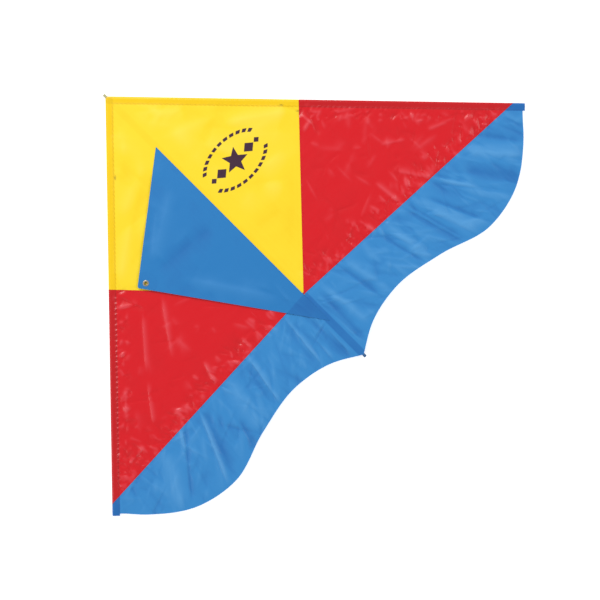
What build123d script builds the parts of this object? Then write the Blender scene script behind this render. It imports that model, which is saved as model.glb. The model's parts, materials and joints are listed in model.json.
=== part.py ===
"""Delta kite with a three-colour film sail, a keel and a glass-fibre frame.

The kite lies on its back with the keel side up: +Z is the side that faces the flyer,
+Y points at the nose and X runs along the wingspan. Everything is modelled about the
nose of the sail, with z = 0 in the middle of the sail film at the spine, and the
finished kite is then stood on the middle of its own bounding box, on its underside.
"""
import os
from math import atan, degrees, hypot

from build123d import *

# ---------------------------------------------------------------- driving dimensions, mm
WINGSPAN = 1143.0
TIP_BACK = 589.7            # nose to wing tip, along the spine
SAIL_LENGTH = 714.0         # nose to tail, along the spine
FILM = 0.2                  # thickness of every film layer

# The sail's coloured panels.
NOSE_SEAM_ON_EDGE = 378.0   # yellow to red seam, along the leading edge
NOSE_SEAM_ON_SPINE = 548.0  # both seams meet the spine here
BAND_SEAM_ON_EDGE = 798.0   # red to blue seam, along the leading edge
# The scalloped trailing edge: share of the half span, depth of the blue band there.
SCALLOP = [(0.105, 130.0), (0.245, 111.0), (0.43, 123.0), (0.615, 148.0), (0.77, 127.0), (0.91, 66.0)]

# Hems along the leading edges and the pocket along the spine.
HEM_WIDTH = 15.0
HEM_OVERRUN = 4.3           # the hem runs this far past the band at the wing tip
HEM_FOLD_ROOM = 1.4         # slack between the folded edge and the rod's pocket
STRIP_HALF = 7.7            # half width of the film strip that stays with the spine
ROOT_GAP = 0.3              # from that strip to each wing's film
# Pocket section, as shares of its half height: where it leaves the sail, the width of
# its flat crown and the shoulder of a folded edge.
POCKET_FOOT = 2.0
POCKET_CROWN = 0.7
FOLD_SHOULDER = 0.4
# Gap between the spine's pocket and the soft caps, and how far a cutter passes the film.
SLEEVE_CLEARANCE = 2.0
CUT_MARGIN = 1.0
# The scalloped edge leaves the spine in this direction, with this pull at its two ends.
TAIL_HEADING = (1, 0.6)
SCALLOP_EASE = (0.6, 0.9)

# Frame rods and their soft end caps.
SPINE_ROD_R = 2.5
SPAR_ROD_R = 2.0
SPREADER_ROD_R = 2.0
CAP_WALL = 0.5
CAP_END = 1.0
CAP_LENGTH = 14.0
CAP_FIT = 0.02              # radial gap, rod to cap
POCKET_GAP = 0.12           # radial gap, cap to pocket
NOSE_CAP_OUT = 5.0          # how far the spine's caps stand out of the film
TAIL_CAP_OUT = 6.0
SPAR_START = 45.0           # spar ends, along the leading edge
SPAR_TIP_SETBACK = 10.0

# Spar connectors: a ring round the spar and an open-backed channel for the spreader.
CONNECTOR_AT = 397.0        # along the leading edge
RING_WALL = 1.2
RING_LENGTH = 10.0
RING_FIT = 0.08
RING_FILM_GAP = 0.25
CHANNEL_WALL = 1.0
CHANNEL_LENGTH = 15.0
CHANNEL_SIDE_GAP = 0.2
CHANNEL_TOP_GAP = 0.3
CHANNEL_FLOOR_GAP = 0.6
SPREADER_END_GAP = 1.0
WINDOW_MARGIN = 1.5
SPREADER_SPINE_GAP = 0.36
TIP_FLOOR_GAP = 0.05

# Keel and its grommet.
KEEL_FRONT = 140.0          # along the spine
KEEL_REAR = 620.0
KEEL_CORNER_OUT = 220.5     # free corner, out from the spine
KEEL_CORNER_BACK = 309.5
KEEL_CORNER_R = 3.0
KEEL_RAISE = 0.5            # keel film above the sail film
KEEL_ROOT = 1.5             # keel film starts this far from its hinge line
TAB_R = 22.0
TAB_INSET = 2.5
GROMMET_OUT = 202.5
GROMMET_BACK = 314.5
BORE_R = 3.175
BARREL_WALL = 0.4
FLANGE_R = 6.1
FLANGE_THICK = 0.5
FLANGE_ROUND = 0.2
LIP_R = 4.4
LIP_THICK = 0.2
GROMMET_FIT = 0.03

BIG = 4.0 * WINGSPAN

# ---------------------------------------------------------------- worked-out values
half_span = WINGSPAN / 2
edge_length = hypot(half_span, TIP_BACK)
edge_dir = Vector(half_span / edge_length, -TIP_BACK / edge_length, 0)
inward = Vector(edge_dir.Y, -edge_dir.X, 0)


def pocket_half(rod_r):
    """Half height inside the film pocket that holds this rod and its caps."""
    return rod_r + CAP_WALL + CAP_FIT + POCKET_GAP


def pocket_axis(rod_r):
    """Height of the rod's axis against the middle of the sail film."""
    return -FILM / 2 - pocket_half(rod_r)


def pocket_depth(rod_r):
    """Lowest film of the pocket, below the middle of the sail film."""
    return FILM / 2 + 2 * pocket_half(rod_r) + FILM


spreader_cap_r = SPREADER_ROD_R + CAP_WALL
spreader_z = -pocket_depth(SPINE_ROD_R) - SPREADER_SPINE_GAP - SPREADER_ROD_R
floor_z = spreader_z - spreader_cap_r
wing_slope = (-floor_z - pocket_depth(SPAR_ROD_R) - TIP_FLOOR_GAP) / half_span
wing_tilt = degrees(atan(wing_slope))
spar_inset = pocket_half(SPAR_ROD_R) + FILM + HEM_FOLD_ROOM


def edge_point(along, inset=0.0, z=0.0):
    """A point of the right wing: along its leading edge, then in from that edge."""
    return Vector(0, 0, z) + edge_dir * along + inward * inset


spar_point = edge_point(CONNECTOR_AT, spar_inset)
spreader_y = spar_point.Y
channel_half = spreader_cap_r + CHANNEL_SIDE_GAP
ring_r = SPAR_ROD_R + RING_FIT + RING_WALL
stop_setback = (ring_r + channel_half * edge_dir.X) / -edge_dir.Y + CHANNEL_WALL
stop_x = spar_point.X - stop_setback
spreader_end = stop_x - SPREADER_END_GAP
channel_z = spreader_z + (stop_x - CHANNEL_LENGTH / 2) * wing_slope


# ---------------------------------------------------------------- helpers
def rod(start, end, radius):
    """A round rod between two points."""
    axis = Plane(origin=start, z_dir=end - start)
    return extrude(axis * Circle(radius), (end - start).length)


def cap(end, into, rod_r):
    """A soft cap over a rod's end; end is its closed face, into points along the rod."""
    along = Plane(origin=end, z_dir=into)
    outside = extrude(along * Circle(rod_r + CAP_WALL), CAP_LENGTH)
    bore = extrude(along.offset(CAP_END) * Circle(rod_r + CAP_FIT), CAP_LENGTH)
    return outside - bore


def pocket_outline(rod_r, centre, fold_at=None):
    """The pocket's outside, as (distance in from the edge, height) points."""
    reach = pocket_half(rod_r) + FILM
    axis = pocket_axis(rod_r)
    points = [
        (centre + POCKET_FOOT * reach, FILM / 2),
        (centre + POCKET_CROWN * reach, axis - reach),
        (centre - POCKET_CROWN * reach, axis - reach),
    ]
    if fold_at is None:
        return points + [(centre - POCKET_FOOT * reach, FILM / 2)]
    return points + [(fold_at, axis + FOLD_SHOULDER * reach), (fold_at, FILM / 2)]


def pocket(plane, length, outline):
    """A closed film pocket along a plane's negative normal."""
    outer = make_face(Polyline(*outline, close=True))
    inner = offset(outer, amount=-FILM, kind=Kind.INTERSECTION)
    return extrude(plane * (outer - inner), -length)


def beyond(start, through):
    """A block that fills the side to the left of a line drawn from start through a point."""
    line = Plane(origin=(start.X, start.Y, -BIG / 4), x_dir=through - start, z_dir=(0, 0, 1))
    return extrude(line * (Pos(0, BIG / 2) * Rectangle(2 * BIG, BIG)), BIG / 2)


# ---------------------------------------------------------------- sail
def half_sail_outline():
    """Right half of the sail, from the spine's centre line outwards."""
    seam_end = edge_point(BAND_SEAM_ON_EDGE)
    seam_fall = (seam_end.Y + NOSE_SEAM_ON_SPINE) / seam_end.X
    tail = Vector(0, -SAIL_LENGTH, 0)
    band_corner = edge_point(edge_length - HEM_OVERRUN, HEM_WIDTH)
    edge = [tail]
    for share, depth in SCALLOP:
        x = share * half_span
        edge.append(Vector(x, -NOSE_SEAM_ON_SPINE + seam_fall * x - depth, 0))
    edge.append(band_corner)
    trailing = Spline(*edge, tangents=[TAIL_HEADING, -inward.normalized()], tangent_scalars=SCALLOP_EASE)
    rest = Polyline(
        band_corner,
        edge_point(edge_length, HEM_WIDTH),
        edge_point(edge_length),
        Vector(0, 0, 0),
        tail,
    )
    return make_face(Curve() + [trailing, rest])


def wing_skin():
    """Right wing's film in one piece, with its leading-edge hem and the hem's window."""
    film = Pos(0, 0, -FILM / 2) * extrude(half_sail_outline(), FILM)
    hem_start = Plane(origin=(0, 0, 0), x_dir=inward, z_dir=edge_dir * -1)
    outline = pocket_outline(SPAR_ROD_R, spar_inset, fold_at=0)
    weld_from = outline[0][0] - FILM
    weld = extrude(
        hem_start * (Pos((weld_from + HEM_WIDTH) / 2, -FILM) * Rectangle(HEM_WIDTH - weld_from, FILM)),
        -edge_length,
    )
    skin = film + pocket(hem_start, edge_length, outline) + weld
    reach = (HEM_WIDTH - spar_inset + edge_dir.X * (channel_half + CHANNEL_WALL)) / -edge_dir.Y
    window_back = edge_dir.X * reach - edge_dir.Y * (channel_half + CHANNEL_WALL) + WINDOW_MARGIN
    window_ahead = RING_LENGTH / 2 + WINDOW_MARGIN
    window = Pos(HEM_WIDTH / 2, -BIG / 2 - FILM / 2) * Rectangle(HEM_WIDTH + 2 * CUT_MARGIN, BIG)
    window_plane = Plane(origin=edge_point(CONNECTOR_AT - window_back), x_dir=inward, z_dir=edge_dir * -1)
    skin -= extrude(window_plane * window, -window_back - window_ahead)
    return skin & (Pos(STRIP_HALF + ROOT_GAP + BIG / 2, 0, 0) * Box(BIG, BIG, BIG))


def wing_panels():
    """The right wing's yellow, red and blue panels."""
    skin = wing_skin()
    on_spine = Vector(0, -NOSE_SEAM_ON_SPINE, 0)
    nose_side = beyond(on_spine, edge_point(NOSE_SEAM_ON_EDGE))
    tail_side = beyond(edge_point(BAND_SEAM_ON_EDGE), on_spine)
    return {
        "nose_panel": skin & nose_side,
        "wing_panel": skin - nose_side - tail_side,
        "trailing_panel": (skin - nose_side) & tail_side,
    }


def spine_sleeve():
    """The film strip over the spine and the pocket under it, in its two colours."""
    right = half_sail_outline()
    outline = right + mirror(right, about=Plane.YZ)
    strip = Pos(0, 0, -FILM / 2) * extrude(outline, FILM)
    strip = strip & Box(2 * STRIP_HALF, BIG, BIG)
    front = CAP_LENGTH - NOSE_CAP_OUT + SLEEVE_CLEARANCE
    rear = SAIL_LENGTH + TAIL_CAP_OUT - CAP_LENGTH - SLEEVE_CLEARANCE
    start = Plane(origin=(0, -front, 0), x_dir=(-1, 0, 0), z_dir=(0, 1, 0))
    sleeve = strip + pocket(start, rear - front, pocket_outline(SPINE_ROD_R, 0))
    nose_half = Pos(0, BIG / 2 - NOSE_SEAM_ON_SPINE, 0) * Box(BIG, BIG, BIG)
    return {"spine_sleeve_front": sleeve & nose_half, "spine_sleeve_tail": sleeve - nose_half}


# ---------------------------------------------------------------- frame
def spine_frame():
    """The spine rod and the caps on its two ends."""
    z = pocket_axis(SPINE_ROD_R)
    nose = Vector(0, NOSE_CAP_OUT, z)
    tail = Vector(0, -SAIL_LENGTH - TAIL_CAP_OUT, z)
    step = Vector(0, CAP_END, 0)
    return {
        "spine_rod": rod(nose - step, tail + step, SPINE_ROD_R),
        "nose_cap": cap(nose, Vector(0, -1, 0), SPINE_ROD_R),
        "tail_cap": cap(tail, Vector(0, 1, 0), SPINE_ROD_R),
    }


def connector():
    """Moulded ring on the spar with the channel that the spreader's end snaps into."""
    axis_z = pocket_axis(SPAR_ROD_R)
    start = edge_point(CONNECTOR_AT - RING_LENGTH / 2, spar_inset, axis_z)
    end = edge_point(CONNECTOR_AT + RING_LENGTH / 2, spar_inset, axis_z)
    channel_top = channel_z + spreader_cap_r + CHANNEL_TOP_GAP
    block_top = channel_top + CHANNEL_WALL
    block_low = channel_z - spreader_cap_r + CHANNEL_FLOOR_GAP
    open_end = stop_x - CHANNEL_LENGTH
    block_size = (spar_point.X - open_end, 2 * (channel_half + CHANNEL_WALL), block_top - block_low)
    block = Pos((spar_point.X + open_end) / 2, spreader_y, (block_top + block_low) / 2) * Box(*block_size)
    past_ring = beyond(spar_point, spar_point - edge_dir)
    body = rod(start, end, ring_r) + (block & past_ring)
    channel = Pos(stop_x - BIG / 2, spreader_y, channel_top - BIG / 2) * Box(BIG, 2 * channel_half, BIG)
    body -= channel
    body -= rod(start - edge_dir * RING_LENGTH, end + edge_dir * RING_LENGTH, SPAR_ROD_R + RING_FIT)
    shave = Pos(0, 0, BIG / 2 - FILM / 2 - RING_FILM_GAP) * Box(BIG, BIG, BIG)
    return body - shave


def wing_frame():
    """The right leading-edge spar with its caps and its connector."""
    z = pocket_axis(SPAR_ROD_R)
    inner = edge_point(SPAR_START, spar_inset, z)
    outer = edge_point(edge_length - SPAR_TIP_SETBACK, spar_inset, z)
    step = edge_dir * CAP_END
    return {
        "spar": rod(inner + step, outer - step, SPAR_ROD_R),
        "spar_nose_cap": cap(inner, edge_dir, SPAR_ROD_R),
        "spar_tip_cap": cap(outer, edge_dir * -1, SPAR_ROD_R),
        "connector": connector(),
    }


def spreader():
    """The cross spreader and its caps, which lie in the two connectors' channels."""
    right = Vector(spreader_end, spreader_y, spreader_z)
    left = Vector(-spreader_end, spreader_y, spreader_z)
    step = Vector(CAP_END, 0, 0)
    return {
        "spreader_rod": rod(left + step, right - step, SPREADER_ROD_R),
        "spreader_tip_right": cap(right, Vector(-1, 0, 0), SPREADER_ROD_R),
        "spreader_tip_left": cap(left, Vector(1, 0, 0), SPREADER_ROD_R),
    }


# ---------------------------------------------------------------- keel
def keel():
    """The keel, folded down on the left wing, with its tab and grommet."""
    corner = (-KEEL_CORNER_OUT, -KEEL_CORNER_BACK)
    triangle = make_face(Polyline((0, -KEEL_FRONT), corner, (0, -KEEL_REAR), close=True))
    tab_shape = offset(triangle, amount=-TAB_INSET, kind=Kind.INTERSECTION)
    free_corner = triangle.vertices().sort_by(Axis.X)[0]
    triangle = fillet(free_corner, KEEL_CORNER_R)
    triangle &= Pos(-KEEL_ROOT - BIG / 2, 0) * Rectangle(BIG, BIG)
    grommet = Pos(-GROMMET_OUT, -GROMMET_BACK)
    barrel_r = BORE_R + BARREL_WALL
    hole = grommet * Circle(barrel_r + GROMMET_FIT)
    low = KEEL_RAISE - FILM / 2
    tab_low = low + FILM
    tab_top = tab_low + FILM
    lip_z = low - FLANGE_THICK
    flange = [
        (BORE_R, tab_top + FLANGE_THICK),
        (FLANGE_R - FLANGE_ROUND, tab_top + FLANGE_THICK),
        (FLANGE_R, tab_top + FLANGE_THICK - FLANGE_ROUND),
        (FLANGE_R, tab_top),
        (barrel_r, tab_top),
        (barrel_r, lip_z),
        (LIP_R, lip_z),
        (LIP_R, lip_z - LIP_THICK),
        (BORE_R, lip_z - LIP_THICK),
    ]
    section = Plane.XZ * make_face(Polyline(*flange, close=True))
    washer = Circle(FLANGE_R) - Circle(barrel_r + GROMMET_FIT)
    tab_shape &= grommet * Circle(TAB_R)
    return {
        "keel_panel": Pos(0, 0, low) * extrude(triangle - hole, FILM),
        "keel_tab": Pos(0, 0, tab_low) * extrude(tab_shape - hole, FILM),
        "grommet_eyelet": grommet * revolve(section, Axis.Z),
        "grommet_washer": grommet * Pos(0, 0, lip_z) * extrude(washer, FLANGE_THICK),
    }


# ---------------------------------------------------------------- assembly
def whole_kite():
    """Every node of the kite, about the nose of the sail."""
    nodes = {}
    nodes.update(spine_frame())
    nodes.update(spine_sleeve())
    wing = wing_panels()
    wing.update(wing_frame())
    for name, solid in wing.items():
        right = solid.rotate(Axis.Y, wing_tilt)
        nodes["right_" + name] = right
        nodes["left_" + name] = mirror(right, about=Plane.YZ)
    nodes.update(spreader())
    nodes.update(keel())
    return nodes


def main():
    nodes = whole_kite()
    box = Compound(children=[Part(node.wrapped) for node in nodes.values()]).bounding_box()
    to_origin = Vector(-box.center().X, -box.center().Y, -box.min.Z)
    os.makedirs("parts", exist_ok=True)
    for name, solid in nodes.items():
        export_step(Pos(to_origin) * solid, os.path.join("parts", name + ".step"))
    eye = to_origin + Vector(-GROMMET_OUT, -GROMMET_BACK, KEEL_RAISE + (FILM - LIP_THICK) / 2)
    bore_length = 2 * FILM + 2 * FLANGE_THICK + LIP_THICK
    print("size", [round(v, 3) for v in (box.size.X, box.size.Y, box.size.Z)])
    print("nose of the sail and wing hinge line", [round(v, 4) for v in to_origin])
    print("keel hinge line at z", round(to_origin.Z + KEEL_RAISE, 4))
    print("grommet centre", [round(v, 4) for v in eye], "bore length", round(bore_length, 3))
    print("wing tilt", round(wing_tilt, 4), "degrees")


main()
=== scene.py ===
# %% [markdown]
# # A delta kite in coloured film
# The kite lies on its back on a pale floor, with the keel folded down on its left wing. The
# rods and connectors come from the imported model and only get finishes here. The sail is
# film, so every panel is modelled again as a thin sheet with hems, seams and folds.
#
# ## The frame
# Everything is placed from the imported model: the hinge line of the wings gives the film's
# height at the spine.

# %% Load the frame
import json
import math

import bmesh
import bpy
import numpy as np
from mathutils import Matrix, Vector
from mathutils.geometry import delaunay_2d_cdt


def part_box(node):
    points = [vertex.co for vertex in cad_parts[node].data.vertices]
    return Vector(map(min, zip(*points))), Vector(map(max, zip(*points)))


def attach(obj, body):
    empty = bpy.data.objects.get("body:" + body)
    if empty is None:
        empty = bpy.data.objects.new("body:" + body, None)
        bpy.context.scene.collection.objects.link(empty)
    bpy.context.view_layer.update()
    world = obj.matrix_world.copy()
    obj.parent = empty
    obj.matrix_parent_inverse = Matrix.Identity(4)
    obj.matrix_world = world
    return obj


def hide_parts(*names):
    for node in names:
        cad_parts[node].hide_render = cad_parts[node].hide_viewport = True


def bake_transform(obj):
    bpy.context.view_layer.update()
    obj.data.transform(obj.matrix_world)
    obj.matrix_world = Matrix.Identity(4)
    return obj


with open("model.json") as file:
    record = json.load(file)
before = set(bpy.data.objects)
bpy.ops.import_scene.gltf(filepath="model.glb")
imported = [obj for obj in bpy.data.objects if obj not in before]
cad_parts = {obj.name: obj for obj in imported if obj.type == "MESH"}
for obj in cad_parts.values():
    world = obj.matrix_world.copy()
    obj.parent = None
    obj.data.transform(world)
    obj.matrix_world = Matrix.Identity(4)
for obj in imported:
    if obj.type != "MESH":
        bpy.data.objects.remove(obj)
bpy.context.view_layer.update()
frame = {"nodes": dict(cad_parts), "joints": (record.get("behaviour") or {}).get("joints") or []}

hinges = {joint["name"]: Vector(joint["pos_m"]) for joint in frame["joints"] if "pos_m" in joint}
wing_hinge = hinges["left_wing_fold"]
keel_hinge = hinges["keel_swing"]
MM = 0.001
print("wing hinge", tuple(wing_hinge), "keel hinge", tuple(keel_hinge))

# %% [markdown]
# ## The kite's own measures
# A kite is drawn from its nose: x runs out from the spine, y is negative towards the tail,
# and z is the height above the wing hinge, all in millimetres. A second pair of measures
# follows the leading edge: "along" starts at the nose and "inset" goes in from the fold.

# %% Sizes of the sail
half_span = 571.5
tip_back = 589.7
sail_length = 714.0
hem_width = 15.0
hem_overrun = 4.3
hem_start = 30.0
spar_inset = 4.2
hem_weld_inset = 11.5
seam_on_spine = 548.0
nose_seam_along = 378.0
band_seam_along = 798.0
wing_slope = math.tan(math.radians(0.5825))
edge_length = math.hypot(half_span, tip_back)
edge_dir = np.array([half_span, -tip_back]) / edge_length
inward = np.array([edge_dir[1], -edge_dir[0]])
wings = (("right", 1.0), ("left", -1.0))


def unit(vector):
    """The same direction, with length 1."""
    return vector / math.hypot(*vector)


def on_edge(along, inset=0.0):
    """A point of the right wing from its leading-edge measures."""
    return edge_dir * along + inward * inset


def edge_measures(x, y):
    """Leading-edge measures of points, the same for both wings."""
    out = np.abs(x)
    return out * edge_dir[0] + y * edge_dir[1], out * inward[0] + y * inward[1]


def placed(x, y, z):
    """Kite millimetres to scene metres."""
    return np.stack([x, y, z], axis=-1) * MM + np.array([0.0, wing_hinge.y, wing_hinge.z])


print("leading edge", round(edge_length, 1), "mm")

# %% [markdown]
# ## Writing trees in Python
# Arithmetic in a node tree is easier to read as Python. Field wraps one socket, so that
# 1 - mask or a * b adds the Math node itself. Tree adds any other node in one call. The
# same two classes serve finishes, which are shader trees, and rules, which are geometry
# trees that make repeated or swept shapes.

# %% Fields and trees
class Field:
    """A number that varies over a surface or over a mesh's points."""

    def __init__(self, tree, socket):
        self.tree = tree
        self.socket = socket

    def math(self, operation, *others, clamp=False):
        settings = {"operation": operation, "use_clamp": clamp}
        return self.tree.node("ShaderNodeMath", settings, dict(enumerate((self,) + others)))

    def __add__(self, other): return self.math("ADD", other)
    def __sub__(self, other): return self.math("SUBTRACT", other)
    def __mul__(self, other): return self.math("MULTIPLY", other)
    def __truediv__(self, other): return self.math("DIVIDE", other)
    def __pow__(self, other): return self.math("POWER", other)
    def __neg__(self): return self.math("MULTIPLY", -1.0)
    def __abs__(self): return self.math("ABSOLUTE")
    def __radd__(self, other): return self.math("ADD", other)
    def __rmul__(self, other): return self.math("MULTIPLY", other)
    def __rsub__(self, other): return (-self).math("ADD", other)

    def within(self):
        """The number held between 0 and 1."""
        return self.math("ADD", 0.0, clamp=True)

    def below(self, limit, soft):
        """1 where the number is under the limit, fading over a soft edge."""
        return ((limit - self) / soft).math("ADD", 0.5, clamp=True)


class Tree:
    """A node tree: node() adds a node from its type, settings and socket values."""

    def __init__(self, nodes):
        self.nodes = nodes

    def node(self, kind, settings=None, inputs=None, output=0):
        made = self.nodes.nodes.new(kind)
        for key, value in (settings or {}).items():
            setattr(made, key, value)
        for key, value in (inputs or {}).items():
            if isinstance(value, Field):
                self.nodes.links.new(value.socket, made.inputs[key])
            else:
                made.inputs[key].default_value = value
        return Field(self, made.outputs[output])

    def parts(self, vector):
        """The x, y and z of a vector."""
        made = self.node("ShaderNodeSeparateXYZ", None, {"Vector": vector})
        return [Field(self, socket) for socket in made.socket.node.outputs]


print("tree classes ready")

# %% [markdown]
# ## Folds in film
# Film can't stretch much, so it shows how it was packed and how it is pulled: long creases,
# fans at the corners and short puckers beside the seams. Each is one ridge or valley with a
# soft crest. They are added up to one height for the whole sail, so that a fold runs on
# across a seam instead of stopping there. A cloth simulation would fold at random; this way
# puts the folds where the pull on the sail puts them.

# %% One fold, and many
def smooth(t):
    """0 below 0, 1 above 1 and an even curve between."""
    t = np.clip(t, 0.0, 1.0)
    return t * t * (3 - 2 * t)


def fold(x, y, start, end, width, height, lean=0.0, ease=0.25):
    """Height of one fold: lean makes one flank steeper, ease is the fade at its ends."""
    run = np.array(end, float) - np.array(start, float)
    length = math.hypot(*run)
    run = run / length
    dx = x - start[0]
    dy = y - start[1]
    along = (dx * run[0] + dy * run[1]) / length
    across = dy * run[0] - dx * run[1]
    flank = width * np.where(across > 0, 1 + lean, 1 - lean)
    fade = smooth(along / ease) * smooth((1 - along) / ease)
    return height * fade * np.exp(-np.power(np.abs(across) / flank + 1e-6, 1.5))


def puckers(x, y, rng, place, count, length, width, height, turn):
    """Many small folds: place gives each one's middle and heading from random numbers."""
    total = np.zeros_like(x)
    for _ in range(count):
        middle, heading = place(rng)
        heading += rng.normal(0, turn)
        half = rng.uniform(*length) / 2 * np.array([math.cos(heading), math.sin(heading)])
        size = rng.uniform(*width)
        rise = rng.uniform(*height) * rng.choice([-1, 1])
        lean = rng.uniform(-0.5, 0.5)
        near = np.hypot(x - middle[0], y - middle[1]) < math.hypot(*half) + 4 * size
        if near.any():
            total[near] += fold(x[near], y[near], middle - half, middle + half, size, rise, lean, 0.45)
    return total


crest = fold(np.array([10.0]), np.array([0.0]), (0, 0), (20, 0), 4.0, 1.0)
print("a 1 mm fold is", round(float(crest[0]), 3), "mm high in its middle")

# %% [markdown]
# The long folds are listed as start, end, width, height and lean, in kite millimetres.
# The trailing band isn't held by anything, so it has the most. On the left wing x is
# negative, and a fold in "both_folds" shows on both wings.

# %% The long folds
right_folds = [
    ((301, -576), (366, -722), 4.0, -1.95, 0.35),
    ((255, -558), (296, -706), 4.5, -2.4, -0.3),
    ((266, -560), (302, -700), 4.0, -1.65, 0.4),
    ((280, -556), (330, -712), 11.0, 1.95, 0.2),
    ((188, -568), (212, -676), 4.5, -2.1, 0.3),
    ((204, -560), (232, -684), 10.0, 1.5, 0.0),
    ((88, -550), (107, -672), 4.5, -1.95, 0.3),
    ((104, -552), (126, -668), 9.0, 1.5, 0.0),
    ((388, -590), (466, -700), 13.0, -2.55, 0.2),
    ((420, -570), (500, -660), 12.0, 2.1, 0.0),
    ((455, -558), (518, -642), 8.0, -1.95, 0.3),
    ((340, -556), (384, -622), 4.0, -1.65, 0.4),
    ((322, -560), (436, -706), 4.0, -0.9, 0.3),
    ((350, -570), (420, -704), 12.0, 1.5, 0.0),
    ((40, -556), (52, -684), 7.0, 1.35, 0.0),
    ((245, -296), (249, -332), 3.0, 1.2, 0.3),
    ((222, -324), (268, -312), 3.2, 1.35, 0.3),
    ((312, -446), (358, -476), 4.0, 1.05, 0.4),
    ((254, -490), (261, -560), 4.0, 1.35, 0.3),
    ((398, -491), (438, -508), 3.4, 1.05, 0.2),
    ((296, -500), (340, -566), 5.0, 1.2, 0.4),
    ((290, -338), (334, -364), 3.2, 0.9, 0.2),
    ((180, -520), (188, -566), 4.0, 1.2, 0.0),
]
left_folds = [
    ((-58, -548), (-72, -682), 3.6, 2.1, 0.5),
    ((-66, -548), (-82, -676), 8.0, -1.5, 0.0),
    ((-162, -552), (-184, -672), 4.0, 2.25, 0.5),
    ((-176, -552), (-198, -668), 9.0, -1.35, 0.0),
    ((-303, -560), (-370, -712), 3.8, 2.85, 0.55),
    ((-290, -560), (-352, -712), 9.0, -1.8, 0.0),
    ((-340, -556), (-450, -690), 3.8, -1.95, 0.4),
    ((-357, -560), (-382, -604), 3.6, 1.5, 0.3),
    ((-260, -628), (-284, -702), 5.0, -1.95, 0.3),
    ((-42, -600), (-49, -684), 4.0, 1.65, 0.4),
    ((-220, -556), (-246, -690), 14.0, 1.35, 0.0),
    ((-404, -566), (-470, -680), 13.0, 1.35, 0.0),
    ((-230, -500), (-248, -560), 3.4, 1.65, 0.4),
    ((-244, -346), (-328, -442), 3.6, 1.05, 0.4),
    ((-195, -350), (-272, -458), 3.6, 1.05, 0.3),
    ((-334, -450), (-392, -526), 3.4, 1.05, 0.4),
    ((-480, -542), (-430, -538), 3.0, 1.35, 0.3),
    ((-146, -520), (-146, -552), 3.2, 1.35, 0.3),
    ((-376, -430), (-422, -482), 3.4, 1.05, 0.0),
    ((-282, -306), (-240, -334), 4.2, 1.5, 0.4),
]
both_folds = [
    ((266, -284), (236, -296), 3.2, -2.08, 0.3),
    ((277, -292), (254, -284), 3.0, 1.6, 0.3),
    ((262, -290), (240, -352), 4.5, -1.44, 0.4),
    ((230, -256), (250, -294), 3.2, -1.28, 0.2),
    ((9, -552), (22, -712), 4.5, -1.92, 0.4),
    ((15, -560), (14, -700), 4.0, 1.44, 0.3),
    ((26, -562), (24, -704), 6.0, -1.44, 0.3),
    ((30, -88), (96, -134), 14.0, 1.12, 0.0),
    ((30, -142), (150, -192), 16.0, 0.96, 0.0),
    ((120, -196), (242, -280), 12.0, 1.12, 0.2),
    ((20, -390), (90, -402), 14.0, -0.8, 0.0),
    ((16, -500), (190, -330), 18.0, -0.96, 0.0),
]
print(len(right_folds) + len(left_folds) + 2 * len(both_folds), "long folds")

# %% [markdown]
# The small folds fall at random, but each kind keeps to its own place: the welds pulled the
# red film into short puckers beside the band's seam and the hems, and the band and the nose
# keep creases from the packing. Each function gives one fold's middle and heading.

# %% Where the small folds fall
seam_end = on_edge(band_seam_along)
seam_fall = (seam_end[1] + seam_on_spine) / seam_end[0]
seam_heading = math.atan2(seam_end[1] + seam_on_spine, seam_end[0])
red_length = band_seam_along - nose_seam_along
red_edge = (400, 770)


def band_depth(x, y):
    """How far a point lies beyond the red and blue seam, towards the tail."""
    return -(y + seam_on_spine - seam_fall * np.abs(x))


def beside_band(rng):
    x = rng.uniform(15, 530)
    y = -seam_on_spine + seam_fall * x + rng.normal(18, 13)
    return np.array([x, y]), seam_heading + math.pi / 2 + rng.normal(-0.3, 0.35)


def over_red(rng):
    along = rng.uniform(*red_edge)
    inset = rng.uniform(20, 370) * (1 - (along - nose_seam_along) / red_length)
    return on_edge(along, 12 + max(inset, 0)), rng.uniform(0, math.pi)


def under_hem(rng):
    return on_edge(rng.uniform(*red_edge), rng.uniform(18, 40)), rng.normal(-0.2, 0.5)


def over_band(rng):
    x = rng.uniform(10, 545)
    y = -seam_on_spine + seam_fall * x - rng.uniform(10, 130)
    return np.array([x, y]), rng.normal(-1.15, 0.35)


def over_nose(rng):
    along = rng.uniform(60, 370)
    return on_edge(along, rng.uniform(20, max(along - 20, 25))), rng.normal(-0.5, 0.6)


# Places, then how many, the ranges of length, width and height, and how far they turn.
small_folds = [
    (beside_band, 190, (10, 44), (1.9, 4.4), (0.3, 1.2), 0.3),
    (over_red, 120, (14, 70), (2.2, 6.0), (0.15, 0.7), 0.4),
    (under_hem, 70, (8, 30), (1.9, 3.6), (0.3, 1.0), 0.4),
    (over_band, 260, (20, 120), (1.9, 6.0), (0.2, 0.85), 0.3),
    (over_nose, 40, (60, 190), (8.0, 20.0), (0.3, 0.8), 0.3),
]


print(sum(row[1] for row in small_folds), "small folds on each wing")

# %% [markdown]
# Along the leading edge the film goes round the spar and is welded to itself. It bulges
# over the rod, sinks at the weld and turns down at the edge, and the welder's bar left a
# small gather about every centimetre behind it.

# %% The hem's shape
edge_turn = 1.7
gather_pitch = 10.2


def hem_shape(along, inset):
    """The film over the spar, the weld behind it and the rounded fold at the edge."""
    bulge = 0.45 * np.exp(-((inset - spar_inset) / 2.4) ** 2)
    weld = -0.4 * np.exp(-((inset - hem_weld_inset) / 2.6) ** 2)
    turn = -edge_turn * smooth(1 - inset / 1.9) ** 2
    return (bulge + weld) * smooth(along / 25.0) + turn


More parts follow.
